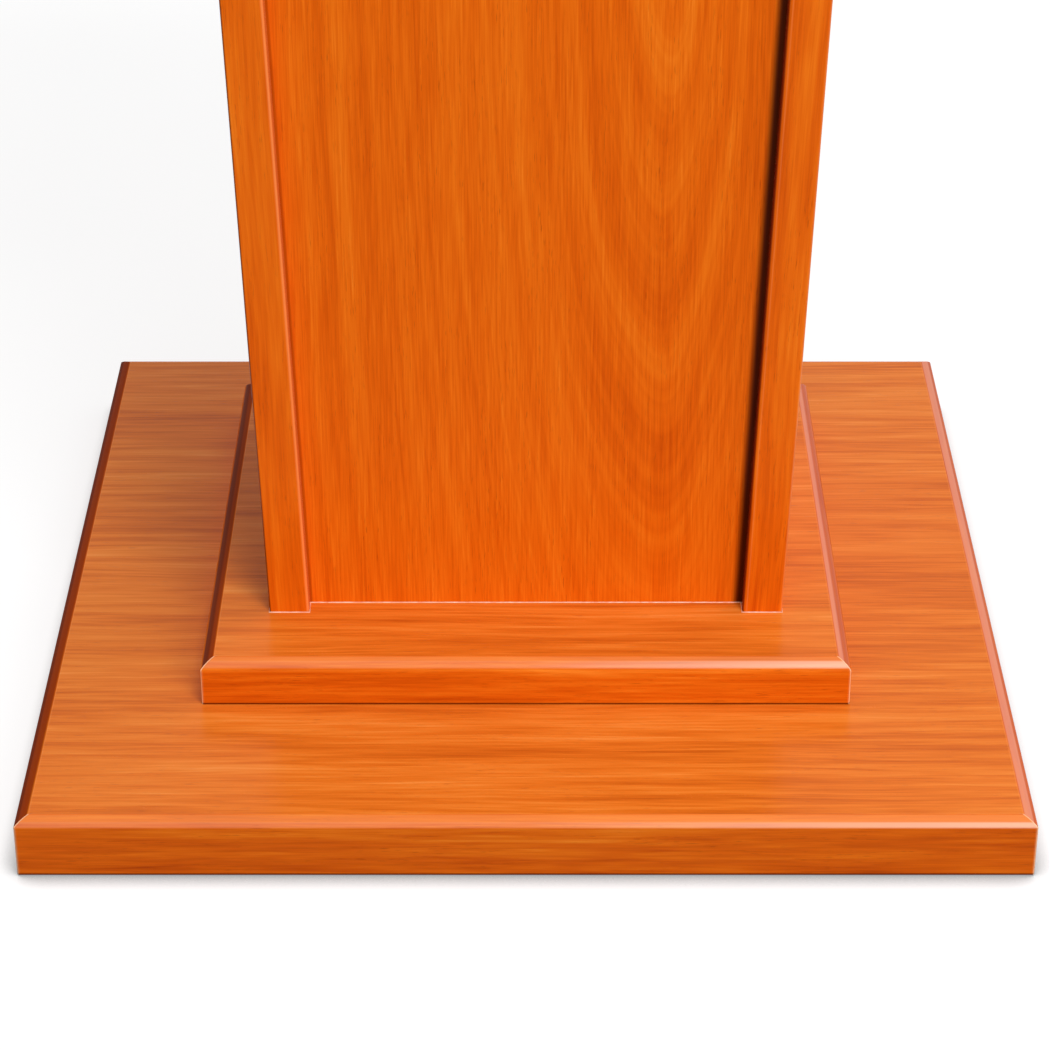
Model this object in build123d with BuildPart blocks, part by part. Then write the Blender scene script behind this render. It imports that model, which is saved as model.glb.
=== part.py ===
"""Display podium: a flared wooden column on a plinth and a wide base, with a flat top.

Millimetres, +Z up, +X to the viewer's right, the front faces -Y. The origin lies on the floor under
the middle of the base board.
"""

import os
from math import radians, tan

from build123d import *

os.makedirs("parts", exist_ok=True)

# Base board
base_width = 600.0
base_depth = 600.0
base_thickness = 38.0

# Plinth board under the column
plinth_width = 400.0
plinth_depth = 380.0
plinth_thickness = 30.0

# Plinth, column and top share one axis, this far behind the middle of the base
column_setback = 16.4

# Column
column_width = 322.0
column_depth = 260.0
column_height = 913.0
flare_angle = 1.9
side_thickness = 25.0
side_inner_round = 2.5
side_outer_round = 1.5

# Front and back panels, held in grooves of the side boards
panel_thickness = 12.0
panel_recess = 12.0
groove_depth = 8.0
groove_gap = 0.1
panel_edge_gap = 1.0

# Neck board and top board
neck_overhang = 30.0
neck_thickness = 30.0
top_overhang = 35.0
top_thickness = 38.0

# Solid lippings around the four boards, moulded on one edge
lipping_width = 8.0
thick_board_rise = 4.3
thick_board_crown = 0.6
thick_board_round = 2.0
thin_board_rise = 5.6
thin_board_crown = 0.75
thin_board_round = 3.6
corner_round = 1.2
arris_round = 0.8

# Battens inside the foot and the head of the column
cleat_width = 35.0
cleat_height = 40.0

# Dowels between the side boards and the boards above and below
dowel_radius = 4.0
dowel_length = 40.0
dowel_spacing = 180.0
dowel_end_gap = 0.5

# Flats around a screw or a dowel
fastener_flats = 10

# Countersunk screws
shank_radius = 2.0
head_radius = 4.0
head_sink = 0.4
screw_point = 4.0
tip_radius = 0.4
long_screw = 60.0
short_screw = 50.0
bore_gap = 0.05
base_screw_inset = 45.0
column_screw_spacing = 120.0
cross_screw_spacing = 120.0
cleat_screw_spacing = 50.0

# Floor pads let into the underside of the base
pad_radius = 20.0
pad_thickness = 4.0
pad_recess = 3.0
pad_gap = 0.3
pad_inset = 50.0

# Heights, from the floor up
base_bottom = pad_thickness - pad_recess
base_top = base_bottom + base_thickness
plinth_top = base_top + plinth_thickness
column_top = plinth_top + column_height
neck_top = column_top + neck_thickness


def half_width(height, inset=0.0):
    """Half the column's width at a height above the plinth, less an inset from its outer face."""
    return column_width / 2 - inset + height * tan(radians(flare_angle))


neck_width = 2 * half_width(column_height) + 2 * neck_overhang
neck_depth = column_depth + 2 * neck_overhang
top_width = neck_width + 2 * top_overhang
top_depth = neck_depth + 2 * top_overhang
front_panel_y = column_setback - column_depth / 2 + panel_recess + panel_thickness / 2
back_panel_y = 2 * column_setback - front_panel_y
cleat_span = back_panel_y - front_panel_y - panel_thickness
thick_moulding = (thick_board_rise, thick_board_crown, thick_board_round)
thin_moulding = (thin_board_rise, thin_board_crown, thin_board_round)


def save(builder, name):
    """Label a finished piece and write it to its own file."""
    builder.part.label = name
    export_step(builder.part, f"parts/{name}.step")


def upright_plane(y):
    """The plane that faces the front at a depth y, drawn in X and Z."""
    return Plane(origin=(0, y, 0), x_dir=(1, 0, 0), z_dir=(0, -1, 0))


def board_outline(width, flat_z, moulded_z, moulding):
    """A board's cross-section, with a crowned slope and a rounded edge on both sides of one face."""
    rise, crown, edge_round = moulding
    up = 1 if moulded_z > flat_z else -1
    half = width / 2
    slope_foot = moulded_z - up * rise
    left_foot, left_arris = (-half, slope_foot), (lipping_width - half, moulded_z)
    right_arris, right_foot = (half - lipping_width, moulded_z), (half, slope_foot)
    with BuildSketch() as outline:
        with BuildLine():
            Line((-half, flat_z), left_foot)
            SagittaArc(left_foot, left_arris, up * crown)
            Line(left_arris, right_arris)
            SagittaArc(right_arris, right_foot, up * crown)
            Polyline(right_foot, (half, flat_z), (-half, flat_z))
        make_face()
        corners = outline.vertices()
        fillet([v for v in corners if abs(v.Y - slope_foot) < rise / 2], edge_round)
        fillet([v for v in corners if abs(v.Y - flat_z) < rise / 2], arris_round)
    return outline.sketch


def moulded_board(width, depth, centre_y, flat_z, moulded_z, moulding):
    """A board whose four edges have one moulding, which meets in mitres at eased corners."""
    with BuildPart() as board:
        with BuildSketch(upright_plane(centre_y)):
            add(board_outline(width, flat_z, moulded_z, moulding))
        extrude(amount=depth / 2, both=True)
        with BuildSketch(Plane.YZ):
            with Locations((centre_y, 0)):
                add(board_outline(depth, flat_z, moulded_z, moulding))
        extrude(amount=width / 2, both=True, mode=Mode.INTERSECT)
        with BuildSketch(Plane.XY.offset(min(flat_z, moulded_z))):
            with Locations((0, centre_y)):
                RectangleRounded(width, depth, corner_round)
        extrude(amount=abs(moulded_z - flat_z), mode=Mode.INTERSECT)
    return board.part


def lippings(name, width, depth, centre_y, flat_z, moulded_z, moulding):
    """Write the four mitred edgings of a board: front, right, back and left."""
    blank = moulded_board(width, depth, centre_y, flat_z, moulded_z, moulding)
    outer = [(-1, -1), (1, -1), (1, 1), (-1, 1)]
    for index, side in enumerate(("front", "right", "back", "left")):
        start, end = outer[index], outer[(index + 1) % 4]
        with BuildPart() as lipping:
            add(blank)
            with BuildSketch(Plane.XY.offset(min(flat_z, moulded_z))):
                with Locations((0, centre_y)):
                    Polygon(
                        (start[0] * width / 2, start[1] * depth / 2),
                        (end[0] * width / 2, end[1] * depth / 2),
                        (end[0] * (width / 2 - lipping_width), end[1] * (depth / 2 - lipping_width)),
                        (start[0] * (width / 2 - lipping_width), start[1] * (depth / 2 - lipping_width)),
                        align=None,
                    )
            extrude(amount=abs(moulded_z - flat_z), mode=Mode.INTERSECT)
        save(lipping, f"{name}_lipping_{side}")


def field(width, depth, centre_y, bottom_z, thickness):
    """The flat board inside the lippings."""
    with BuildPart() as board:
        with BuildSketch(Plane.XY.offset(bottom_z)):
            with Locations((0, centre_y)):
                Rectangle(width - 2 * lipping_width, depth - 2 * lipping_width)
        extrude(amount=thickness)
    return board.part


def faceted_turning(sections):
    """A small turned piece as straight facets between regular sections, given as (z, radius)."""
    with BuildPart() as body:
        for z, radius in sections:
            with BuildSketch(Plane.XY.offset(z)):
                RegularPolygon(radius, fastener_flats)
        loft(ruled=True)
    return body.part


def screw(length):
    """A countersunk wood screw that points down, its head just under the surface at z = 0."""
    return faceted_turning(
        [
            (-head_sink, head_radius),
            (-head_sink - (head_radius - shank_radius), shank_radius),
            (screw_point - head_sink - length, shank_radius),
            (-head_sink - length, tip_radius),
        ]
    )


def screw_bore(length):
    """The countersunk hole for a screw, open above the surface at z = 0."""
    mouth_radius = head_radius + head_sink + bore_gap
    bore_radius = shank_radius + bore_gap
    return faceted_turning(
        [
            (head_sink, mouth_radius),
            (0, mouth_radius),
            (bore_radius - mouth_radius, bore_radius),
            (-head_sink - length - bore_gap, bore_radius),
        ]
    )


def four_points(spread_x, spread_y, centre_y):
    """The corners of a rectangle centred on the podium's middle plane."""
    return [(x * spread_x, centre_y + y * spread_y) for x in (-1, 1) for y in (-1, 1)]


def driven_up(points, z):
    """Places of screws that enter a surface at height z from below."""
    return [Plane(origin=(x, y, z), x_dir=(1, 0, 0), z_dir=(0, 0, -1)).location for x, y in points]


def driven_down(points, z):
    """Places of screws that enter a surface at height z from above."""
    return [Plane(origin=(x, y, z)).location for x, y in points]


def driven_outward(height, spacing):
    """Places of screws that run from a side cleat out into its side board."""
    return [
        Plane(
            origin=(
                side * half_width(height, side_thickness + cleat_width),
                column_setback + row * spacing / 2,
                plinth_top + height,
            ),
            x_dir=(0, 1, 0),
            z_dir=(-side, 0, 0),
        ).location
        for side in (-1, 1)
        for row in (-1, 1)
    ]


def cleat_points(height):
    """Where vertical screws enter the four cleats of one end of the column."""
    side_x = half_width(height, side_thickness + cleat_width / 2)
    cross_y = cleat_span / 2 - cleat_width / 2
    return four_points(side_x, column_screw_spacing / 2, column_setback) + four_points(
        cross_screw_spacing / 2, cross_y, column_setback
    )


base_screw_points = four_points(
    plinth_width / 2 - base_screw_inset, plinth_depth / 2 - base_screw_inset, column_setback
)
base_screw_places = driven_up(base_screw_points, base_bottom)
column_screw_places = driven_up(cleat_points(0), base_top)
neck_screw_places = driven_down(cleat_points(column_height), neck_top)
top_screw_places = driven_up(
    four_points(neck_width / 2 - neck_overhang / 2, neck_depth / 2 - neck_overhang / 2, column_setback),
    column_top,
)
cleat_screw_places = driven_outward(cleat_height / 2, cleat_screw_spacing) + driven_outward(
    column_height - cleat_height / 2, cleat_screw_spacing
)
lower_dowel_points = four_points(half_width(0, side_thickness / 2), dowel_spacing / 2, column_setback)
upper_dowel_points = four_points(
    half_width(column_height, side_thickness / 2), dowel_spacing / 2, column_setback
)
pad_points = four_points(base_width / 2 - pad_inset, base_depth / 2 - pad_inset, 0)

long_screw_body = screw(long_screw)
long_screw_bore = screw_bore(long_screw)
short_screw_body = screw(short_screw)
short_screw_bore = screw_bore(short_screw)


def dowel_holes(points, joint_z):
    """Cut the dowels' holes, which reach equally far above and below a joint, into the part."""
    with BuildSketch(Plane.XY.offset(joint_z)) as holes:
        with Locations(*points):
            RegularPolygon(dowel_radius + bore_gap, fastener_flats)
    extrude(holes.sketch, amount=dowel_length / 2 + dowel_end_gap, both=True, mode=Mode.SUBTRACT)


# Base: a flat field, four lippings, and four pads in shallow recesses
with BuildPart() as base_board:
    add(field(base_width, base_depth, 0, base_bottom, base_thickness))
    with Locations(*base_screw_places):
        add(long_screw_bore, mode=Mode.SUBTRACT)
    with BuildSketch(Plane.XY.offset(base_bottom)):
        with Locations(*pad_points):
            Circle(pad_radius + pad_gap)
    extrude(amount=pad_recess, mode=Mode.SUBTRACT)
save(base_board, "base_board")
lippings("base", base_width, base_depth, 0, base_bottom, base_top, thick_moulding)

with BuildPart() as floor_pads:
    with BuildSketch(Plane.XY):
        with Locations(*pad_points):
            Circle(pad_radius)
    extrude(amount=pad_thickness)
save(floor_pads, "floor_pads")

# Plinth
with BuildPart() as plinth_board:
    add(field(plinth_width, plinth_depth, column_setback, base_top, plinth_thickness))
    with Locations(*base_screw_places):
        add(long_screw_bore, mode=Mode.SUBTRACT)
    with Locations(*column_screw_places):
        add(long_screw_bore, mode=Mode.SUBTRACT)
    dowel_holes(lower_dowel_points, plinth_top)
save(plinth_board, "plinth_board")
lippings(
    "plinth",
    plinth_width,
    plinth_depth,
    column_setback,
    base_top,
    plinth_top,
    thin_moulding,
)


def leaning_strip(outer_inset, inner_inset, foot, head):
    """A strip that leans with the right side of the column, between two insets from its face."""
    return Polygon(
        (half_width(foot, outer_inset), plinth_top + foot),
        (half_width(head, outer_inset), plinth_top + head),
        (half_width(head, inner_inset), plinth_top + head),
        (half_width(foot, inner_inset), plinth_top + foot),
        align=None,
    )


def flared_field(inset, foot, head):
    """A field that widens upward, with both ends at one inset from the column's side faces."""
    return Polygon(
        (-half_width(foot, inset), plinth_top + foot),
        (half_width(foot, inset), plinth_top + foot),
        (half_width(head, inset), plinth_top + head),
        (-half_width(head, inset), plinth_top + head),
        align=None,
    )


def long_edges(board):
    """The straight edges that run up a side board, from the inner ones to the outer ones."""
    straight = board.edges().filter_by(GeomType.LINE)
    rising = straight.filter_by(Axis.X, reverse=True).filter_by(Axis.Y, reverse=True)
    return rising.sort_by(Axis.X)


# Column: two leaning side boards with rounded long edges and a groove for each panel
with BuildPart() as side_board_right:
    with BuildSketch(upright_plane(column_setback)):
        leaning_strip(0, side_thickness, 0, column_height)
    extrude(amount=column_depth / 2, both=True)
    fillet(long_edges(side_board_right)[:2], side_inner_round)
    fillet(long_edges(side_board_right)[-2:], side_outer_round)
    for panel_y in (front_panel_y, back_panel_y):
        with BuildSketch(upright_plane(panel_y)):
            leaning_strip(side_thickness - groove_depth, side_thickness, 0, column_height)
        extrude(amount=panel_thickness / 2 + groove_gap, both=True, mode=Mode.SUBTRACT)
    dowel_holes(lower_dowel_points, plinth_top)
    dowel_holes(upper_dowel_points, column_top)
    with Locations(*cleat_screw_places):
        add(short_screw_bore, mode=Mode.SUBTRACT)
save(side_board_right, "side_board_right")

with BuildPart() as side_board_left:
    mirror(side_board_right.part, about=Plane.YZ)
save(side_board_left, "side_board_left")

for panel_name, panel_y in (("front_panel", front_panel_y), ("back_panel", back_panel_y)):
    with BuildPart() as panel:
        with BuildSketch(upright_plane(panel_y)):
            flared_field(side_thickness - groove_depth + panel_edge_gap, 0, column_height)
        extrude(amount=panel_thickness / 2, both=True)
    save(panel, panel_name)

# Battens inside the column: one on each side board, and one behind each panel between them
for end, foot, vertical_screws in (
    ("lower", 0, column_screw_places),
    ("upper", column_height - cleat_height, neck_screw_places),
):
    head = foot + cleat_height
    with BuildPart() as cleat_right:
        with BuildSketch(upright_plane(column_setback)):
            leaning_strip(side_thickness, side_thickness + cleat_width, foot, head)
        extrude(amount=cleat_span / 2, both=True)
        with Locations(*vertical_screws):
            add(long_screw_bore, mode=Mode.SUBTRACT)
        with Locations(*cleat_screw_places):
            add(short_screw_bore, mode=Mode.SUBTRACT)
    save(cleat_right, f"{end}_cleat_right")

    with BuildPart() as cleat_left:
        mirror(cleat_right.part, about=Plane.YZ)
    save(cleat_left, f"{end}_cleat_left")

    cross_offset = cleat_span / 2 - cleat_width / 2
    for face, direction in (("front", -1), ("back", 1)):
        with BuildPart() as cross_cleat:
            with BuildSketch(upright_plane(column_setback + direction * cross_offset)):
                flared_field(side_thickness + cleat_width, foot, head)
            extrude(amount=cleat_width / 2, both=True)
            with Locations(*vertical_screws):
                add(long_screw_bore, mode=Mode.SUBTRACT)
        save(cross_cleat, f"{end}_cleat_{face}")

# Neck board, with its moulded edge down
with BuildPart() as neck_board:
    add(field(neck_width, neck_depth, column_setback, column_top, neck_thickness))
    with Locations(*neck_screw_places):
        add(long_screw_bore, mode=Mode.SUBTRACT)
    with Locations(*top_screw_places):
        add(long_screw_bore, mode=Mode.SUBTRACT)
    dowel_holes(upper_dowel_points, column_top)
save(neck_board, "neck_board")
lippings(
    "neck",
    neck_width,
    neck_depth,
    column_setback,
    neck_top,
    column_top,
    thin_moulding,
)

# Top board, the display surface
with BuildPart() as top_board:
    add(field(top_width, top_depth, column_setback, neck_top, top_thickness))
    with Locations(*top_screw_places):
        add(long_screw_bore, mode=Mode.SUBTRACT)
save(top_board, "top_board")
lippings(
    "top",
    top_width,
    top_depth,
    column_setback,
    neck_top,
    neck_top + top_thickness,
    thick_moulding,
)

# Dowels
for dowel_name, dowel_points, joint_z in (
    ("lower_dowels", lower_dowel_points, plinth_top),
    ("upper_dowels", upper_dowel_points, column_top),
):
    with BuildPart() as dowels:
        with BuildSketch(Plane.XY.offset(joint_z)):
            with Locations(*dowel_points):
                RegularPolygon(dowel_radius, fastener_flats)
        extrude(amount=dowel_length / 2, both=True)
    save(dowels, dowel_name)

# Screws, one node for each set
for screw_name, body, places in (
    ("base_screws", long_screw_body, base_screw_places),
    ("column_screws", long_screw_body, column_screw_places),
    ("neck_screws", long_screw_body, neck_screw_places),
    ("top_screws", long_screw_body, top_screw_places),
    ("cleat_screws", short_screw_body, cleat_screw_places),
):
    with BuildPart() as screws:
        with Locations(*places):
            add(body)
    save(screws, screw_name)
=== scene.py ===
"""A display podium in lacquered cherry: finishes, fasteners, joint seal, light and camera.

Metres, +Z up, the podium's front faces -Y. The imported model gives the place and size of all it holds.
"""

import math

import bmesh
import bpy
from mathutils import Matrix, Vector, noise


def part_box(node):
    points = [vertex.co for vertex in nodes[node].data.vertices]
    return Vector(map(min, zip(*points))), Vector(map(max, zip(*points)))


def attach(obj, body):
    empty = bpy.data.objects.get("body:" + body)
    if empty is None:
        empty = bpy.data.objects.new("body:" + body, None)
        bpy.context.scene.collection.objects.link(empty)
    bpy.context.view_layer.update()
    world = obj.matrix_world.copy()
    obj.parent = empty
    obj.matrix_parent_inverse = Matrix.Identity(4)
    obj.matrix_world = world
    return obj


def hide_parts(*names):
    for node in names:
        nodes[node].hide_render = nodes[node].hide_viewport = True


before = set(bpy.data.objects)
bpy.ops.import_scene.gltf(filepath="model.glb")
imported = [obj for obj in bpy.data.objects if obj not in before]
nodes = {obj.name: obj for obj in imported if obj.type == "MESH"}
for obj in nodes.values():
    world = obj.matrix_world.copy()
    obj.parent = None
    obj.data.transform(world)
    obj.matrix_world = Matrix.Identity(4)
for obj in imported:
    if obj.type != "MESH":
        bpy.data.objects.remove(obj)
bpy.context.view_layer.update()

MM = 0.001
BOARDS = ("base", "plinth", "neck", "top")
SIDES = ("front", "right", "back", "left")


def reach_at(node, level):
    """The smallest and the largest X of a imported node's corners at one level."""
    found = [vertex.co.x for vertex in nodes[node].data.vertices if abs(vertex.co.z - level) < MM]
    return min(found), max(found)


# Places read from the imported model; inner and outer are the faces of the right side board
base_low, base_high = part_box("base_lipping_front")
side_low, side_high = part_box("side_board_right")
column_foot = side_low.z
column_head = side_high.z
lipping_width = base_high.y - base_low.y
foot_inner, foot_outer = reach_at("side_board_right", column_foot)
head_outer = reach_at("side_board_right", column_head)[1]
side_thickness = foot_outer - foot_inner
flare = (head_outer - foot_outer) / (column_head - column_foot)

# Camera, at the photograph's viewing angle: place in metres, pitch below the horizon in degrees
CAMERA_PLACE = (-0.5 * MM, -1903 * MM, 1154.9 * MM)
CAMERA_PITCH = 29.75
SENSOR = 36.0
FOCAL_PIXELS = 3330.0
PHOTO_PIXELS = 1050.0

WHITE = (1.0, 1.0, 1.0, 1.0)


def linear(colour):
    """Linear light from an sRGB colour written in 0..255."""
    return tuple(
        c / 255 / 12.92 if c <= 10.3 else ((c / 255 + 0.055) / 1.055) ** 2.4 for c in colour
    )


class Graph:
    """A short way to write the nodes of one material, or of the world."""

    def __init__(self, owner):
        self.owner = owner
        owner.use_nodes = True
        self.tree = owner.node_tree
        self.tree.nodes.clear()

    def node(self, kind, **settings):
        made = self.tree.nodes.new("ShaderNode" + kind)
        for key, value in settings.items():
            setattr(made, key, value)
        return made

    def feed(self, socket, value):
        if isinstance(value, bpy.types.NodeSocket):
            self.tree.links.new(value, socket)
        else:
            socket.default_value = value

    def math(self, operation, *values):
        made = self.node("Math", operation=operation)
        for socket, value in zip(made.inputs, values):
            self.feed(socket, value)
        return made.outputs[0]

    def add(self, *values):
        total = values[0]
        for value in values[1:]:
            total = self.math("ADD", total, value)
        return total

    def less(self, a, b):
        return self.math("SUBTRACT", a, b)

    def times(self, a, b):
        return self.math("MULTIPLY", a, b)

    def absolute(self, value):
        return self.math("ABSOLUTE", value)

    def fit(self, value, low, high, to_low=0.0, to_high=1.0, smooth=False):
        """A value in one range, carried over to another and held inside it."""
        made = self.node("MapRange", interpolation_type="SMOOTHSTEP" if smooth else "LINEAR", clamp=True)
        for name, number in (
            ("From Min", low),
            ("From Max", high),
            ("To Min", to_low),
            ("To Max", to_high),
        ):
            made.inputs[name].default_value = number
        self.feed(made.inputs["Value"], value)
        return made.outputs["Result"]

    def near(self, distance, width):
        """1 on a line, falling smoothly to 0 at a distance of width from it."""
        return self.fit(self.absolute(distance), 0.0, width, 1.0, 0.0, smooth=True)

    def vector(self, x, y, z):
        made = self.node("CombineXYZ")
        for socket, value in zip(made.inputs, (x, y, z)):
            self.feed(socket, value)
        return made.outputs[0]

    def place(self):
        """X, Y and Z of a point in the shared frame, in metres."""
        split = self.node("SeparateXYZ")
        self.feed(split.inputs[0], self.node("TexCoord").outputs["Object"])
        return split.outputs

    def noise(self, vector, detail, distortion=0.0):
        made = self.node("TexNoise")
        made.inputs["Scale"].default_value = 1.0
        made.inputs["Detail"].default_value = detail
        made.inputs["Roughness"].default_value = 0.5
        made.inputs["Distortion"].default_value = distortion
        self.feed(made.inputs["Vector"], vector)
        return made.outputs["Fac"]

    def cloud(self, waves, detail, waves_up=None):
        """Noise with so many waves to the metre, and perhaps another number of them upward."""
        x, y, z = self.place()
        upward = self.times(z, waves_up or waves)
        return self.noise(self.vector(self.times(x, waves), self.times(y, waves), upward), detail)

    def lookup(self, value, stops):
        """The colour between two stops; stops are (place in 0..1, linear colour)."""
        made = self.node("ValToRGB")
        elements = made.color_ramp.elements
        while len(elements) < len(stops):
            elements.new(0.5)
        for element, (place, colour) in zip(elements, stops):
            element.position = place
            element.color = (*colour, 1.0)
        self.feed(made.inputs[0], value)
        return made.outputs[0]

    def ramp(self, value, stops):
        """A colour for each tone; stops are (tone, sRGB colour in 0..255)."""
        return self.lookup(value, [(tone, linear(colour)) for tone, colour in stops])

    def mix(self, factor, a, b):
        """Two colours, mixed; each is a socket or an sRGB colour in 0..255."""
        made = self.node("Mix", data_type="RGBA", clamp_factor=True)
        self.feed(made.inputs[0], factor)
        for socket, value in zip(made.inputs[6:8], (a, b)):
            if not isinstance(value, bpy.types.NodeSocket):
                value = (*linear(value), 1.0)
            self.feed(socket, value)
        return made.outputs[2]

    def principled(self, colour, roughness, height, **uniform):
        """The finished material: a colour, a roughness and a relief in metres."""
        bump = self.node("Bump")
        bump.inputs["Strength"].default_value = 1.0
        bump.inputs["Distance"].default_value = 1.0
        self.feed(bump.inputs["Height"], height)
        shader = self.node("BsdfPrincipled")
        self.feed(shader.inputs["Base Color"], colour)
        self.feed(shader.inputs["Roughness"], roughness)
        self.feed(shader.inputs["Normal"], bump.outputs[0])
        for name, value in uniform.items():
            shader.inputs[name].default_value = value
        output = self.node("OutputMaterial")
        self.feed(output.inputs["Surface"], shader.outputs[0])
        return self.owner


def new_graph(name):
    """The graph of a new material."""
    return Graph(bpy.data.materials.new(name))


# Wood: the colour of each tone from dark to light, as (tone, sRGB colour in 0..255)

PANEL_TONES = (
    (0.00, (192, 68, 3)),
    (0.30, (217, 89, 6)),
    (0.52, (231, 103, 11)),
    (0.74, (240, 118, 20)),
    (1.00, (249, 138, 40)),
)
FIELD_TONES = (
    (0.00, (190, 86, 20)),
    (0.30, (217, 108, 27)),
    (0.52, (232, 122, 35)),
    (0.74, (241, 136, 48)),
    (1.00, (250, 157, 74)),
)
EDGING_TONES = (
    (0.00, (176, 64, 3)),
    (0.30, (205, 84, 6)),
    (0.52, (220, 97, 10)),
    (0.74, (231, 112, 18)),
    (1.00, (242, 133, 36)),
)
PINE_TONES = ((0.0, (196, 140, 84)), (0.5, (222, 180, 126)), (1.0, (238, 208, 162)))
BEECH_TONES = ((0.0, (206, 158, 112)), (0.5, (224, 184, 140)), (1.0, (238, 206, 168)))
MID_TONE = 0.52


def streaks(g, grain, length, width, seed, detail=2.0, distortion=0.0):
    """Noise drawn out along the grain, around zero. Length and width are those of one streak."""
    along, across, depth = grain
    vector = g.vector(
        g.add(g.times(along, 1 / length), seed),
        g.times(across, 1 / width),
        g.times(depth, 1 / width),
    )
    return g.less(g.noise(vector, detail, distortion), 0.5)


def wandering(g, grain, seed, amount, length):
    """The same grain with its lines drifting a little across, as they do in a real board."""
    along, across, depth = grain
    drift = streaks(g, grain, length, length / 5, seed, detail=1.0)
    return along, g.add(across, g.times(drift, amount)), depth


# Pores: length and width of one pore, and of the patches where they gather
PORE_LENGTH, PORE_WIDTH = 9 * MM, 0.55 * MM
PATCH_LENGTH, PATCH_WIDTH = 60 * MM, 9 * MM


def pores(g, grain, seed):
    """Short dark vessel lines, 1 inside a line and 0 outside."""
    marks = streaks(g, grain, PORE_LENGTH, PORE_WIDTH, seed, detail=1.0)
    patches = streaks(g, grain, PATCH_LENGTH, PATCH_WIDTH, seed + 3.1, detail=1.0)
    return g.times(g.fit(marks, 0.13, 0.24), g.fit(patches, -0.12, 0.12))


# Lacquer: the colour in the pores and its strength, the relief in metres from trough to crest,
# and how much rougher orange peel, pores and wood fibre make it
PORE_COLOUR = (150, 50, 2)
PORE_STRENGTH = 0.46
RIPPLE_WAVES, RIPPLE_RELIEF = 130.0, 9e-6
PEEL_WAVES, PEEL_RELIEF, PEEL_ROUGHNESS = 620.0, 1.6e-6, 0.05
FIBRE_LENGTH, FIBRE_WIDTH = 40 * MM, 1.1 * MM
FIBRE_RELIEF, FIBRE_ROUGHNESS = 3.5e-6, 0.10
PORE_RELIEF, PORE_ROUGHNESS = -5e-6, 0.10


def lacquered(g, tone, tones, grain, seed, marks, ior, gloss=0.22, relief=()):
    """Clear semi-gloss lacquer over wood of a given tone, with pores that it nearly fills.

    Marks are (strength, sRGB colour) and lie over the wood in their order.
    """
    pore = pores(g, grain, seed)
    colour = g.mix(g.times(pore, PORE_STRENGTH), g.ramp(tone, tones), PORE_COLOUR)
    for strength, mark in marks:
        colour = g.mix(strength, colour, mark)
    peel = g.cloud(PEEL_WAVES, detail=1.0)
    fibre = streaks(g, grain, FIBRE_LENGTH, FIBRE_WIDTH, seed + 7.7, detail=1.0)
    height = g.add(
        g.times(g.cloud(RIPPLE_WAVES, detail=1.0), RIPPLE_RELIEF),
        g.times(peel, PEEL_RELIEF),
        g.times(fibre, FIBRE_RELIEF),
        g.times(pore, PORE_RELIEF),
        *relief,
    )
    roughness = g.add(
        gloss,
        g.times(peel, PEEL_ROUGHNESS),
        g.times(pore, PORE_ROUGHNESS),
        g.times(fibre, FIBRE_ROUGHNESS),
    )
    return g.principled(colour, roughness, height, IOR=ior)


# Straight grain, from broad bands down to single fibres:
# length, width, weight, shift of the seed, detail, distortion
STRAIGHT_GRAIN = (
    (0.55, 30 * MM, 0.55, 1.3, 2.0, 0.0),
    (0.16, 8 * MM, 0.75, 2.9, 3.0, 0.3),
    (0.06, 2.4 * MM, 0.55, 4.7, 2.0, 0.0),
    (0.03, 0.8 * MM, 0.30, 6.1, 1.0, 0.0),
)
GRAIN_DRIFT, GRAIN_DRIFT_LENGTH = 14 * MM, 0.30
BOARD_CONTRAST = 1.35
SIDE_CONTRAST = 1.15


def straight_tone(g, grain, seed, contrast):
    """Tone of straight-grained cherry."""
    drifting = wandering(g, grain, seed, GRAIN_DRIFT, GRAIN_DRIFT_LENGTH)
    parts = [
        g.times(streaks(g, drifting, length, width, seed + shift, detail, distortion), weight * contrast)
        for length, width, weight, shift, detail, distortion in STRAIGHT_GRAIN
    ]
    return g.add(MID_TONE, *parts)


# Painted highlights and painted shade along each moulding: on its upper part and on its lower part, a
# colour, and how strong it is on the board's left half and at its right end. Pale on the front, pale
# then dark on the right, dark on the left
PLAIN = ((0, 0, 0), 0.0, 0.0)
MOULDING_LIGHT_AND_SHADE = {
    "front": (((250, 158, 92), 0.42, 0.48), ((255, 206, 176), 0.13, 0.68)),
    "right": (((240, 158, 132), 0.60, 0.60), ((196, 76, 8), 0.60, 0.60)),
    "back": (PLAIN, PLAIN),
    "left": (((150, 52, 5), 0.92, 0.92), ((112, 34, 3), 0.92, 0.92)),
}

# Where the lower part of each moulding begins and ends, as a drop from the board's flat face
LOWER_PART = {
    "base": (2.3 * MM, 4.5 * MM),
    "plinth": (1.5 * MM, 4.3 * MM),
    "neck": (1.5 * MM, 4.3 * MM),
    "top": (2.3 * MM, 4.5 * MM),
}

# Lacquer of the boards: over the face board, over the edging of the left side, over other edgings
FIELD_IOR, LEFT_EDGING_IOR, EDGING_IOR = 1.18, 1.04, 1.15
FIELD_GLOSS, EDGING_GLOSS = 0.22, 0.18

# Marks on a board, as (strength, colour): a painted highlight along the seam's arris, on the corners and
# on the mitres, painted contact shade along the lowest edge; and the relief of its joints
SEAM_HIGHLIGHT = (0.35, (250, 150, 80))
CORNER_HIGHLIGHT = (0.30, (255, 168, 104))
LOW_EDGE_SHADE = (0.90, (84, 20, 2))
MITRE_HIGHLIGHT = (0.75, (255, 214, 172))
MITRE_RELIEF = -1.6e-4
SEAM_RELIEF = 4e-5


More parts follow.
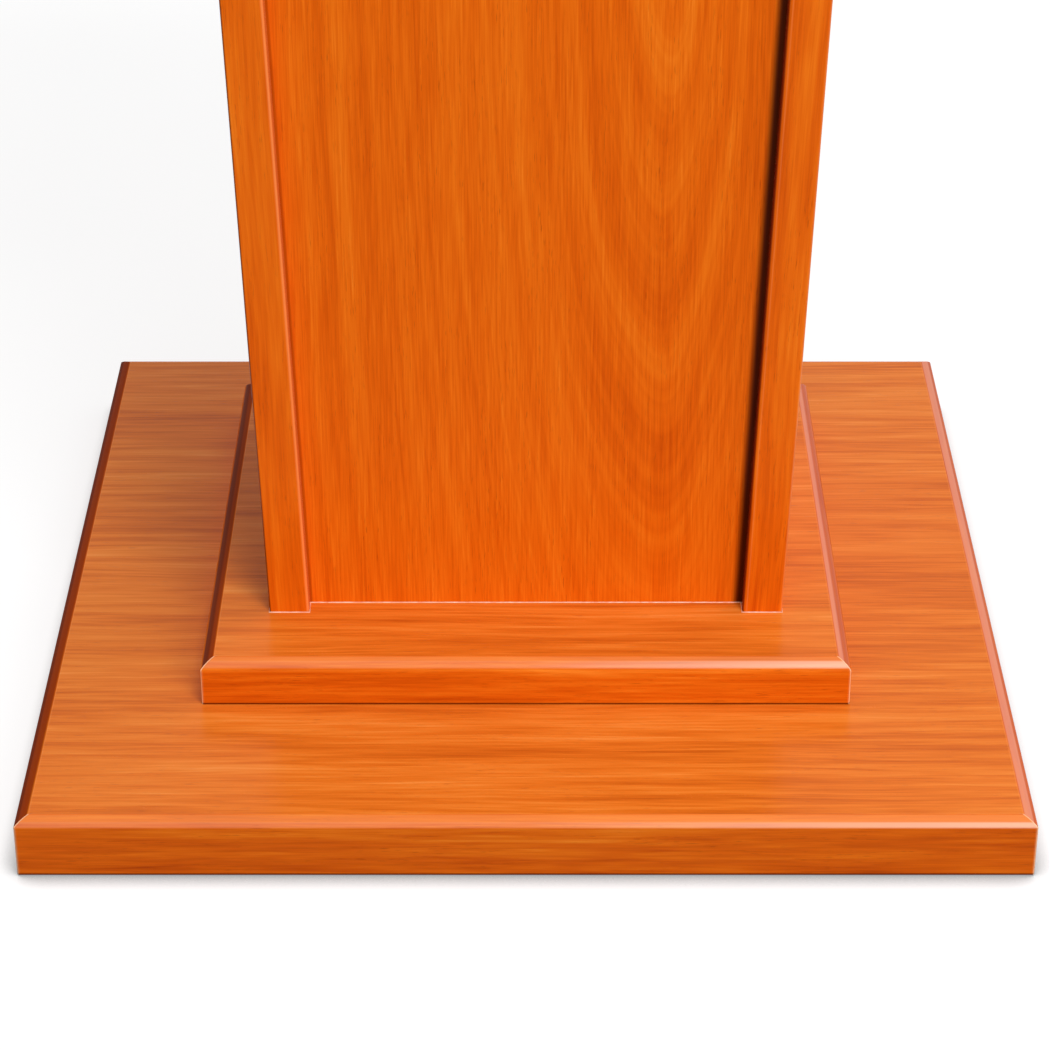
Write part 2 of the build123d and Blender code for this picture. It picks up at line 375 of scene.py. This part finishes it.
def moulding_light_and_shade(g, x, half_width, drop, inset, board, side):
    """Painted highlights and painted shade along one moulding, as colour marks."""
    start, end = LOWER_PART[board]
    upper = g.times(
        g.fit(drop, start, start + 0.6 * MM, 1.0, 0.0),
        g.fit(drop, 0.05 * MM, 0.3 * MM),
    )
    lower = g.times(
        g.fit(drop, start - 0.4 * MM, start + 0.4 * MM, smooth=True),
        g.fit(drop, end - 0.6 * MM, end + 0.6 * MM, 1.0, 0.0, smooth=True),
    )
    on_edge = g.math("LESS_THAN", inset, lipping_width)
    marks = []
    for mask, (colour, at_left, at_right) in zip((upper, lower), MOULDING_LIGHT_AND_SHADE[side]):
        if at_right > 0:
            strength = g.fit(x, 0.0, half_width, at_left, at_right)
            marks.append((g.times(g.times(mask, on_edge), strength), colour))
    return marks


def board_wood(name, board, side, centre, half_size, level, foot, seed):
    """A face board (side None), or its edging on one side: grain along X or Y, seams and mitres, with
    painted highlights and painted shade.

    Level and foot are the heights of the moulded face and of the flat one.
    """
    g = new_graph(name)
    x, y, z = g.place()
    grain = (y, x, z) if side in ("left", "right") else (x, y, z)
    inset_x = g.less(half_size[0], g.absolute(g.less(x, centre[0])))
    inset_y = g.less(half_size[1], g.absolute(g.less(y, centre[1])))
    inset = g.math("MINIMUM", inset_x, inset_y)
    past_seam = g.less(inset, lipping_width)
    past_mitre = g.less(inset_x, inset_y)
    at_face = g.near(g.less(z, level), 9 * MM)
    on_moulding = g.math("LESS_THAN", inset, lipping_width + 1.5 * MM)

    def mark(mask, strength_and_colour):
        strength, colour = strength_and_colour
        return g.times(mask, strength), colour

    # A painted highlight along the seam between the face board and its edging
    marks = [mark(g.times(g.near(past_seam, 0.5 * MM), at_face), SEAM_HIGHLIGHT)]
    if side:
        drop = g.absolute(g.less(level, z))
        # A painted highlight on the upright corners
        corner_highlight = g.fit(g.add(inset_x, inset_y), 0.7 * MM, 1.5 * MM, 1.0, 0.0)
        # Painted contact shade along the lowest edge
        low_edge_shade = g.fit(g.absolute(g.less(z, foot)), 0.6 * MM, 1.5 * MM, 1.0, 0.0)
        # Painted highlights and painted shade along the moulding
        marks += moulding_light_and_shade(g, x, half_size[0], drop, inset, board, side)
        marks += [
            mark(corner_highlight, CORNER_HIGHLIGHT),
            mark(low_edge_shade, LOW_EDGE_SHADE),
            # A painted highlight along the mitres
            mark(g.times(g.near(past_mitre, 0.6 * MM), on_moulding), MITRE_HIGHLIGHT),
        ]
    mitre_round = g.times(g.near(past_mitre, 1.1 * MM), on_moulding)
    seam_round = g.times(g.near(past_seam, 0.9 * MM), at_face)
    return lacquered(
        g,
        straight_tone(g, grain, seed, BOARD_CONTRAST),
        EDGING_TONES if side else FIELD_TONES,
        grain,
        seed,
        marks,
        {None: FIELD_IOR, "left": LEFT_EDGING_IOR}.get(side, EDGING_IOR),
        gloss=EDGING_GLOSS if side else FIELD_GLOSS,
        relief=(g.times(mitre_round, MITRE_RELIEF), g.times(seam_round, SEAM_RELIEF)),
    )


# Painted shade in a side board's recess, and a painted highlight on the arris beside it
RECESS_SHADE = (112, 30, 3)
ARRIS_HIGHLIGHT = (255, 150, 84)
SIDE_IOR = 1.15


def side_wood(name, side, seed, recess_shade, arris_highlight, outer_light_and_shade):
    """A side board of the column: its grain leans with it.

    The shade in the recess is painted: how far it reaches from the board's inner face, and its strength.
    The highlight on the inner arris is painted: its place past that face, the half width and the
    strength.
    The outer arris has painted light on the right board and painted shade on the left one: its strength
    and colour.
    """
    g = new_graph(name)
    x, y, z = g.place()
    lean = g.times(g.less(z, column_foot), flare)
    across = g.less(g.times(x, side), lean)
    grain = (z, across, y)
    past_inner = g.less(across, foot_inner)
    shade_reach, shade_strength = recess_shade
    arris_place, arris_width, arris_strength = arris_highlight
    outer_strength, outer_colour = outer_light_and_shade
    # A painted highlight on the inner arris
    on_arris = g.near(g.less(past_inner, arris_place), arris_width)
    # Painted shade in the recess
    shaded = g.fit(past_inner, 0.2 * MM, shade_reach, 1.0, 0.0, smooth=True)
    # Painted light on the right board's outer arris, painted shade on the left one
    on_outer = g.fit(past_inner, side_thickness - 1.3 * MM, side_thickness - 0.4 * MM)
    marks = (
        (g.times(on_arris, arris_strength), ARRIS_HIGHLIGHT),
        (g.times(shaded, shade_strength), RECESS_SHADE),
        (g.times(on_outer, outer_strength), outer_colour),
    )
    tone = straight_tone(g, grain, seed, SIDE_CONTRAST)
    return lacquered(g, tone, PANEL_TONES, grain, seed, marks, SIDE_IOR)


# The crown-cut figure: how far a ring spreads for its height, and its light and dark bands,
# as (distance below the figure's top in mm, tone)
LEFT_LIMB = 0.175
RIGHT_LIMB = 0.130
FIGURE_BANDS = (
    (40, 0.50),
    (100, 0.55),
    (126, 0.68),
    (146, 0.68),
    (160, 0.28),
    (178, 0.36),
    (206, 0.58),
    (232, 0.44),
    (280, 0.34),
    (302, 0.32),
    (322, 0.76),
    (342, 0.72),
    (364, 0.28),
    (434, 0.32),
    (482, 0.46),
    (520, 0.50),
)
FIGURE_START = FIGURE_BANDS[0][0]
FIGURE_END = FIGURE_BANDS[-1][0]
FIGURE_WEIGHT = 0.40
FIGURE_DRIFT = 16 * MM
TIP_START, TIP_ROUNDING = 0.03, 0.04

# Finer rings within the figure: width of a ring, weight, shift of the seed
FIGURE_RINGS = ((70 * MM, 0.30, 0.0), (24 * MM, 0.30, 5.0), (8 * MM, 0.25, 11.0))

# Streaks over the figure: length, width, weight, shift of the seed, detail
PANEL_STREAKS = (
    (0.9, 22 * MM, 0.45, 2.0, 2.0),
    (0.05, 1.3 * MM, 0.62, 4.0, 2.0),
    (0.025, 0.6 * MM, 0.42, 5.0, 1.0),
)

# Painted shade on the panel beside the side boards, deep beside the right one: from and to, as a
# distance from the board, its strength and colour
RIGHT_SHADE = (1.6 * MM, 7.4 * MM, 0.93, (58, 10, 1))
LEFT_SHADE = (0.9 * MM, 2.2 * MM, 0.60, (150, 50, 3))
PANEL_IOR = 1.12


def panel_wood(name, axis_x, figure_top, seed):
    """A crown-cut panel: nested V figures about an axis, with straight grain over them."""
    g = new_graph(name)
    x, y, z = g.place()
    grain = (z, x, y)
    drift = g.times(streaks(g, grain, 0.22, 45 * MM, seed, detail=1.0), FIGURE_DRIFT)
    beside = g.add(x, -axis_x, drift)
    on_left = g.math("LESS_THAN", beside, 0.0)
    spread = g.add(1 / RIGHT_LIMB, g.times(on_left, 1 / LEFT_LIMB - 1 / RIGHT_LIMB))
    limb = g.times(beside, spread)
    below = g.math("SMOOTH_MAX", g.less(figure_top, z), TIP_START, TIP_ROUNDING)
    ring = g.math("SQRT", g.add(g.times(limb, limb), g.times(below, below)))
    stops = [
        ((height - FIGURE_START) / (FIGURE_END - FIGURE_START), (tone, tone, tone))
        for height, tone in FIGURE_BANDS
    ]
    banded = g.lookup(g.fit(ring, FIGURE_START * MM, FIGURE_END * MM), stops)
    parts = [g.times(g.less(banded, 0.5), FIGURE_WEIGHT)]
    for width, weight, shift in FIGURE_RINGS:
        vector = g.vector(g.add(g.times(ring, 1 / width), seed + shift), g.times(z, 1.6), 0.0)
        parts.append(g.times(g.less(g.noise(vector, detail=1.0), 0.5), weight))
    for length, width, weight, shift, detail in PANEL_STREAKS:
        parts.append(g.times(streaks(g, grain, length, width, seed + shift, detail), weight))
    half_width = g.add(foot_inner, g.times(g.less(z, column_foot), flare))
    # Painted shade on the panel along each side board
    marks = []
    for distance, (start, end, strength, colour) in (
        (g.less(half_width, x), RIGHT_SHADE),
        (g.add(half_width, x), LEFT_SHADE),
    ):
        shaded = g.fit(distance, start, end, 1.0, 0.0, smooth=True)
        marks.append((g.times(shaded, strength), colour))
    return lacquered(g, g.add(MID_TONE, *parts), PANEL_TONES, grain, seed, marks, PANEL_IOR)


def plain_wood(name, grain_axis, tones, seed):
    """Bare planed wood without lacquer, for what is hidden inside."""
    g = new_graph(name)
    x, y, z = g.place()
    grain = {"X": (x, y, z), "Y": (y, x, z), "Z": (z, x, y)}[grain_axis]
    tone = g.add(
        0.5,
        streaks(g, grain, 0.30, 5 * MM, seed, detail=3.0),
        g.times(streaks(g, grain, 0.04, 0.9 * MM, seed + 2.0), 0.5),
    )
    fibre = streaks(g, grain, 0.02, 0.6 * MM, seed + 5.0)
    roughness = g.add(0.62, g.times(fibre, 0.2))
    return g.principled(g.ramp(tone, tones), roughness, g.times(fibre, 2.5e-5))


def screw_steel():
    """Yellow passivated steel."""
    g = new_graph("screw_steel")
    fine = g.cloud(900.0, detail=2.0, waves_up=4000.0)
    stops = ((0.25, (190, 150, 70)), (0.5, (206, 176, 104)), (0.75, (196, 178, 140)))
    colour = g.ramp(g.cloud(160.0, detail=2.0), stops)
    roughness = g.add(0.26, g.times(fine, 0.22))
    return g.principled(colour, roughness, g.times(fine, 6e-6), Metallic=1.0)


def pad_rubber():
    """Matt dark rubber with a fine moulded stipple."""
    g = new_graph("pad_rubber")
    stipple = g.cloud(1500.0, detail=2.0)
    dust = g.fit(g.cloud(90.0, detail=3.0), 0.5, 0.75, 0.0, 0.5)
    colour = g.mix(dust, (30, 29, 28), (64, 60, 56))
    roughness = g.add(0.68, g.times(stipple, 0.15))
    return g.principled(colour, roughness, g.times(stipple, 3e-5))


def seal_finish():
    """Pale, slightly milky lacquer sealant with a wet gloss."""
    g = new_graph("foot_seal_finish")
    milk = g.cloud(240.0, detail=2.0)
    colour = g.mix(g.fit(milk, 0.35, 0.65), (240, 160, 124), (252, 204, 178))
    roughness = g.add(0.22, g.times(milk, 0.2))
    return g.principled(colour, roughness, g.times(milk, 4e-5))


def dress(node, material):
    """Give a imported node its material, on every slot."""
    mesh = nodes[node].data
    if not mesh.materials:
        mesh.materials.append(material)
    for index in range(len(mesh.materials)):
        mesh.materials[index] = material


# Each board and each edging has a seed of its own, so that no two have the same grain
FIRST_SEED, BOARD_SEED_STEP = 3.7, 11.3
FIRST_EDGING_SEED, EDGING_SEED_STEP = 2.3, 1.9

for number, board in enumerate(BOARDS):
    outer_low, outer_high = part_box(f"{board}_lipping_front")
    back_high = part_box(f"{board}_lipping_back")[1]
    half_size = (outer_high.x, (back_high.y - outer_low.y) / 2)
    centre = (0.0, (back_high.y + outer_low.y) / 2)
    level, foot = (outer_low.z, outer_high.z) if board == "neck" else (outer_high.z, outer_low.z)
    seed = FIRST_SEED + BOARD_SEED_STEP * number
    place = (centre, half_size, level, foot)
    dress(f"{board}_board", board_wood(f"{board}_field_wood", board, None, *place, seed))
    for index, side in enumerate(SIDES):
        edging_seed = seed + FIRST_EDGING_SEED + EDGING_SEED_STEP * index
        edging = board_wood(f"{board}_{side}_edging_wood", board, side, *place, edging_seed)
        dress(f"{board}_lipping_{side}", edging)

# Right board: deep painted shade in its recess, a faint painted highlight on its inner arris, a painted
# highlight on its outer arris
right_side = side_wood(
    "right_side_wood",
    side=1,
    seed=61.0,
    recess_shade=(1.4 * MM, 0.92),
    arris_highlight=(2.6 * MM, 0.7 * MM, 0.25),
    outer_light_and_shade=(0.40, (255, 158, 96)),
)
# Left board: faint painted shade in its recess, a strong painted highlight on its inner arris, painted
# shade on its outer arris
left_side = side_wood(
    "left_side_wood",
    side=-1,
    seed=67.0,
    recess_shade=(0.5 * MM, 0.12),
    arris_highlight=(0.6 * MM, 1.5 * MM, 0.8),
    outer_light_and_shade=(0.85, (118, 42, 4)),
)
dress("side_board_right", right_side)
dress("side_board_left", left_side)
dress("front_panel", panel_wood("front_panel_wood", axis_x=84 * MM, figure_top=560 * MM, seed=5.0))
dress("back_panel", panel_wood("back_panel_wood", axis_x=-52 * MM, figure_top=700 * MM, seed=83.0))

CLEATS = (("right", "Y", 21.0), ("left", "Y", 21.0), ("front", "X", 27.0), ("back", "X", 27.0))
for end in ("lower", "upper"):
    for side, grain_axis, seed in CLEATS:
        pine = plain_wood(f"{end}_{side}_cleat_wood", grain_axis, PINE_TONES, seed)
        dress(f"{end}_cleat_{side}", pine)
    dress(f"{end}_dowels", plain_wood(f"{end}_dowel_wood", "Z", BEECH_TONES, 33.0))

SCREWS = ("base_screws", "column_screws", "neck_screws", "top_screws", "cleat_screws")
steel = screw_steel()
rubber = pad_rubber()
for name in SCREWS:
    dress(name, steel)
dress("floor_pads", rubber)


# Detailed screws, dowels and pads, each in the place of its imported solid

ROUND = 16
RINGS_PER_TURN = 4
HEAD_FLAT = 3.8 * MM
HEAD_RADIUS = 3.95 * MM
HEAD_EDGE = 0.15 * MM
NECK_RADIUS = 1.9 * MM
NECK_LENGTH = 14 * MM
CORE_RADIUS = 1.35 * MM
CREST_RADIUS = 1.95 * MM
CREST_HALF_WIDTH = 0.3
PITCH = 2.2 * MM
POINT_LENGTH = 4 * MM
POINT_BLUNT = 0.3 * MM
RECESS_ARM = 2.3 * MM
RECESS_HALF_WIDTH = 0.55 * MM
RECESS_DEPTH = 1.7 * MM
FLUTES = 12
FLUTE_DEPTH = 0.22 * MM
DOWEL_CHAMFER = 1.0 * MM
DOWEL_ROUND = 6 * FLUTES
PAD_ROUND = 48
SHARP_ANGLE = 40


def solids_of(node):
    """The low corner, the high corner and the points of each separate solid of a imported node."""
    bm = bmesh.new()
    bm.from_mesh(nodes[node].data)
    bmesh.ops.remove_doubles(bm, verts=bm.verts, dist=1e-6)
    waiting = set(bm.verts)
    solids = []
    while waiting:
        stack = [waiting.pop()]
        points = []
        while stack:
            vertex = stack.pop()
            points.append(vertex.co.copy())
            for edge in vertex.link_edges:
                other = edge.other_vert(vertex)
                if other in waiting:
                    waiting.remove(other)
                    stack.append(other)
        low = Vector([min(p[i] for p in points) for i in range(3)])
        high = Vector([max(p[i] for p in points) for i in range(3)])
        solids.append((low, high, points))
    bm.free()
    return sorted(solids, key=lambda solid: tuple(solid[0]))


def from_end(low, high, axis, at_high):
    """A function that carries (u, v, depth from one end) of a solid into the shared frame."""
    centre = (low + high) / 2
    across = [i for i in range(3) if i != axis]

    def carry(u, v, depth):
        point = centre.copy()
        point[axis] = high[axis] - depth if at_high else low[axis] + depth
        point[across[0]] += u
        point[across[1]] += v
        return point

    return carry


def join_rings(bm, ring, following):
    """Quads between two closed rings of the same number of points."""
    for a in range(len(ring)):
        b = (a + 1) % len(ring)
        bm.faces.new((ring[a], ring[b], following[b], following[a]))


def skin(bm, rings):
    """A closed skin over rings of points, with a fan over each end."""
    made = [[bm.verts.new(point) for point in ring] for ring in rings]
    for ring, following in zip(made, made[1:]):
        join_rings(bm, ring, following)
    for ring in (made[0], made[-1]):
        centre = bm.verts.new(sum((v.co for v in ring), Vector()) / len(ring))
        for a in range(len(ring)):
            bm.faces.new((centre, ring[a], ring[(a + 1) % len(ring)]))


def object_from(bm, name, material):
    """A smooth-shaded object in the scene, with its faces turned outward."""
    bmesh.ops.recalc_face_normals(bm, faces=bm.faces)
    mesh = bpy.data.meshes.new(name)
    bm.to_mesh(mesh)
    bm.free()
    mesh.polygons.foreach_set("use_smooth", [True] * len(mesh.polygons))
    mesh.materials.append(material)
    made = bpy.data.objects.new(name, mesh)
    bpy.context.scene.collection.objects.link(made)
    return made


def circle(carry, radius, depth, count=ROUND):
    """One ring of points; the radius is a length, or a function of the angle."""
    ring = []
    for step in range(count):
        angle = math.tau * step / count
        r = radius(angle) if callable(radius) else radius
        ring.append(carry(r * math.cos(angle), r * math.sin(angle), depth))
    return ring


def recess_radius(angle):
    """The outline of a cross recess."""
    a = abs((angle + math.pi / 4) % (math.pi / 2) - math.pi / 4)
    return min(RECESS_ARM / math.cos(a), RECESS_HALF_WIDTH / max(math.sin(a), 1e-6))


def screw_rings(carry, length, _radius):
    """A countersunk wood screw: cross recess, head, plain neck, thread and point."""
    rings = [
        circle(carry, lambda angle: 0.45 * recess_radius(angle), RECESS_DEPTH),
        circle(carry, recess_radius, 0.1 * MM),
        circle(carry, lambda angle: recess_radius(angle) + 0.12 * MM, 0.0),
        circle(carry, HEAD_FLAT, 0.0),
        circle(carry, HEAD_RADIUS, HEAD_EDGE),
        circle(carry, NECK_RADIUS, HEAD_EDGE + HEAD_RADIUS - NECK_RADIUS),
        circle(carry, NECK_RADIUS, NECK_LENGTH),
    ]
    threaded = length - NECK_LENGTH - POINT_BLUNT
    count = int(threaded / PITCH * RINGS_PER_TURN)
    for index in range(1, count + 1):
        depth = NECK_LENGTH + threaded * index / count
        taper = min(1.0, (length - depth) / POINT_LENGTH)

        def radius(angle, depth=depth, taper=taper):
            phase = (depth / PITCH - angle / math.tau) % 1.0
            ridge = max(0.0, 1.0 - abs(phase - 0.5) / CREST_HALF_WIDTH)
            return taper * (CORE_RADIUS + (CREST_RADIUS - CORE_RADIUS) * ridge)

        rings.append(circle(carry, radius, depth))
    return rings


def dowel_rings(carry, length, radius):
    """A fluted dowel with chamfered ends."""
    full = radius - 0.1 * MM
    end_radius = full - 0.8 * DOWEL_CHAMFER

    def fluted(angle):
        return full - FLUTE_DEPTH * max(0.0, math.cos(FLUTES * angle)) ** 2

    return [
        circle(carry, end_radius, 0.0, DOWEL_ROUND),
        circle(carry, fluted, DOWEL_CHAMFER, DOWEL_ROUND),
        circle(carry, fluted, length / 2, DOWEL_ROUND),
        circle(carry, fluted, length - DOWEL_CHAMFER, DOWEL_ROUND),
        circle(carry, end_radius, length, DOWEL_ROUND),
    ]


def pad_rings(carry, height, radius):
    """A moulded pad: a dimple and a groove in its underside, and an eased edge."""
    groove = 0.55 * radius
    profile = (
        (3.0 * MM, 0.30 * MM),
        (3.3 * MM, 0.0),
        (groove, 0.0),
        (groove + 0.3 * MM, 0.25 * MM),
        (groove + 1.3 * MM, 0.25 * MM),
        (groove + 1.6 * MM, 0.0),
        (radius - 0.6 * MM, 0.0),
        (radius - 0.2 * MM, 0.12 * MM),
        (radius - 0.05 * MM, 0.45 * MM),
        (radius - 0.05 * MM, height),
    )
    return [circle(carry, r, depth, PAD_ROUND) for r, depth in profile]


def detailed(node, name, material, make_rings, axis=None):
    """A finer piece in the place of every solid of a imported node.

    It starts at the wider end of each solid, or at the lower end where both are as wide.
    """
    bm = bmesh.new()
    for low, high, points in solids_of(node):
        size = high - low
        along = max(range(3), key=lambda i: size[i]) if axis is None else axis
        centre = (low + high) / 2
        across = [i for i in range(3) if i != along]

        def reach(point):
            return math.hypot(*(point[i] - centre[i] for i in across))

        high_end = max(reach(p) for p in points if p[along] > high[along] - size[along] / 4)
        low_end = max(reach(p) for p in points if p[along] < low[along] + size[along] / 4)
        carry = from_end(low, high, along, high_end > low_end + 0.1 * MM)
        skin(bm, make_rings(carry, size[along], max(size[i] for i in across) / 2))
    piece = object_from(bm, name, material)
    piece.data.set_sharp_from_angle(angle=math.radians(SHARP_ANGLE))
    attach(piece, "root")
    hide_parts(node)


for name in SCREWS:
    detailed(name, f"{name}_threaded", steel, screw_rings)
for end in ("lower", "upper"):
    beech = nodes[f"{end}_dowels"].data.materials[0]
    detailed(f"{end}_dowels", f"{end}_dowels_fluted", beech, dowel_rings, axis=2)
detailed("floor_pads", "floor_pads_moulded", rubber, pad_rings, axis=2)


# Seal at the foot of the column, one thin fillet all round its outline

SEAL_SIZE = 0.5 * MM
SEAL_STEP = 4 * MM
SEAL_SEED = 2.0
SEAL_SWELL, SEAL_SWELL_RATE = 0.22, 0.37

# Section of the fillet, as (outward, upward) in shares of its size
SEAL_SECTION = ((0.0, 1.0), (0.12, 0.52), (0.30, 0.30), (0.52, 0.12), (1.0, 0.0))


def foot_outline():
    """The outline of the column where it stands on the plinth, anticlockwise from the front panel."""
    front, back = side_low.y, side_high.y
    recess_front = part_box("front_panel")[0].y
    recess_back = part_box("back_panel")[1].y
    right = [
        (foot_inner, recess_front),
        (foot_inner, front),
        (foot_outer, front),
        (foot_outer, back),
        (foot_inner, back),
        (foot_inner, recess_back),
    ]
    left = [(-px, py) for px, py in reversed(right)]
    return [Vector((px, py)) for px, py in right + left]


def stations_along(outline, step):
    """Points along a closed outline, each with the direction in which the fillet lies from it."""
    stations = []
    for index, here in enumerate(outline):
        run = outline[(index + 1) % len(outline)] - here
        before = here - outline[index - 1]
        normal = Vector((run.y, -run.x)).normalized()
        normal_before = Vector((before.y, -before.x)).normalized()
        mitre = (normal + normal_before) / (1 + normal.dot(normal_before))
        stations.append((here, mitre))
        count = max(1, int(run.length / step))
        for part in range(1, count):
            stations.append((here + run * part / count, normal))
    return stations


def foot_fillet(name, outline, level, material):
    """A concave fillet along a closed outline, in the corner between upright faces and a flat."""
    bm = bmesh.new()
    rings = []
    for number, (place, outward) in enumerate(stations_along(outline, SEAL_STEP)):
        wave = noise.noise(Vector((number * SEAL_SWELL_RATE, SEAL_SEED, 0.0)))
        size = SEAL_SIZE * (1 + SEAL_SWELL * wave)
        ring = []
        for out, up in SEAL_SECTION:
            spot = place + outward * (out * size)
            ring.append(bm.verts.new((spot.x, spot.y, level + up * size)))
        ring.append(bm.verts.new((place.x, place.y, level)))
        rings.append(ring)
    for number, ring in enumerate(rings):
        join_rings(bm, ring, rings[(number + 1) % len(rings)])
    return object_from(bm, name, material)


foot_seal = foot_fillet("foot_seal", foot_outline(), column_foot, seal_finish())
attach(foot_seal, "root")


# Stage: white where it is seen, and a weaker, even light on the podium

FLOOR_HALF = 9.0
FLOOR_GLOW = 0.75
FLOOR_SEEN = 0.35
FLOOR_BOUNCE = (0.20, 0.20, 0.20, 1.0)
CONTACT_REACH = 22 * MM
CONTACT_DARK, CONTACT_CLEAR, CONTACT_SHADE = 0.50, 0.86, 0.45
AMBIENT = 0.50


def seen_or_bounced(g, seen, bounced, output):
    """One shader for what the camera, a mirror or a glass sees, another for light that bounces."""
    rays = g.node("LightPath").outputs
    direct = g.math("MAXIMUM", rays["Is Camera Ray"], rays["Is Glossy Ray"])
    pick = g.node("MixShader")
    g.feed(pick.inputs[0], g.math("MAXIMUM", direct, rays["Is Transmission Ray"]))
    g.feed(pick.inputs[1], bounced.outputs[0])
    g.feed(pick.inputs[2], seen.outputs[0])
    g.feed(g.node(output).inputs["Surface"], pick.outputs[0])


def floor_finish():
    """White with the podium's contact shadow where it is seen, and a darker bounce."""
    g = new_graph("studio_floor")
    contact = g.node("AmbientOcclusion", samples=8)
    contact.inputs["Distance"].default_value = CONTACT_REACH
    shade = g.fit(contact.outputs["AO"], CONTACT_DARK, CONTACT_CLEAR, CONTACT_SHADE, 1.0)
    paper = g.times(shade, FLOOR_SEEN)
    diffuse = g.node("BsdfDiffuse")
    g.feed(diffuse.inputs["Color"], g.vector(paper, paper, paper))
    glow = g.node("Emission")
    glow.inputs["Color"].default_value = WHITE
    g.feed(glow.inputs["Strength"], g.times(shade, FLOOR_GLOW))
    seen = g.node("AddShader")
    g.feed(seen.inputs[0], diffuse.outputs[0])
    g.feed(seen.inputs[1], glow.outputs[0])
    bounce = g.node("BsdfDiffuse")
    bounce.inputs["Color"].default_value = FLOOR_BOUNCE
    seen_or_bounced(g, seen, bounce, "OutputMaterial")
    return g.owner


corners = ((-1, -1), (1, -1), (1, 1), (-1, 1))
floor_mesh = bpy.data.meshes.new("studio_floor")
floor_mesh.from_pydata([(u * FLOOR_HALF, v * FLOOR_HALF, 0.0) for u, v in corners], [], [(0, 1, 2, 3)])
floor_mesh.materials.append(floor_finish())
floor = bpy.data.objects.new("studio_floor", floor_mesh)
bpy.context.scene.collection.objects.link(floor)

world = bpy.data.worlds.new("studio")
bpy.context.scene.world = world
world_graph = Graph(world)
backgrounds = []
for strength in (1.0, AMBIENT):
    background = world_graph.node("Background")
    background.inputs["Color"].default_value = WHITE
    background.inputs["Strength"].default_value = strength
    backgrounds.append(background)
seen_or_bounced(world_graph, *backgrounds, "OutputWorld")


# Lamps: name, azimuth and elevation in degrees as seen from AIM, distance, width and height, and
# power in watts. Azimuth 0 is in front of the podium, 90 on its right
AIM = Vector((0.0, -0.1, 0.25))
LAMPS = (
    ("key", 40, 60, 3.0, (2.2, 2.2), 10),
    ("front_fill", 26, 20, 4.0, (1.5, 1.8), 66),
    ("strip", 20, 62, 3.0, (1.0, 0.2), 23),
    ("rear_fill", 140, 50, 3.5, (2.0, 2.0), 9),
)


def softbox(name, azimuth, elevation, distance, size, power):
    """A rectangular lamp that points at AIM."""
    a, e = math.radians(azimuth), math.radians(elevation)
    away = Vector((math.sin(a) * math.cos(e), -math.cos(a) * math.cos(e), math.sin(e)))
    data = bpy.data.lights.new(name, "AREA")
    data.shape = "RECTANGLE"
    data.size, data.size_y = size
    data.energy = power
    lamp = bpy.data.objects.new(name, data)
    lamp.location = AIM + away * distance
    lamp.rotation_euler = away.to_track_quat("Z", "Y").to_euler()
    bpy.context.scene.collection.objects.link(lamp)


for lamp_settings in LAMPS:
    softbox(*lamp_settings)

camera_data = bpy.data.cameras.new("camera")
camera_data.sensor_width = SENSOR
camera_data.lens = FOCAL_PIXELS / PHOTO_PIXELS * SENSOR
camera = bpy.data.objects.new("camera", camera_data)
camera.location = CAMERA_PLACE
camera.rotation_euler = (math.radians(90 - CAMERA_PITCH), 0.0, 0.0)
bpy.context.scene.collection.objects.link(camera)
bpy.context.scene.camera = camera
bpy.context.scene.view_settings.view_transform = "Standard"
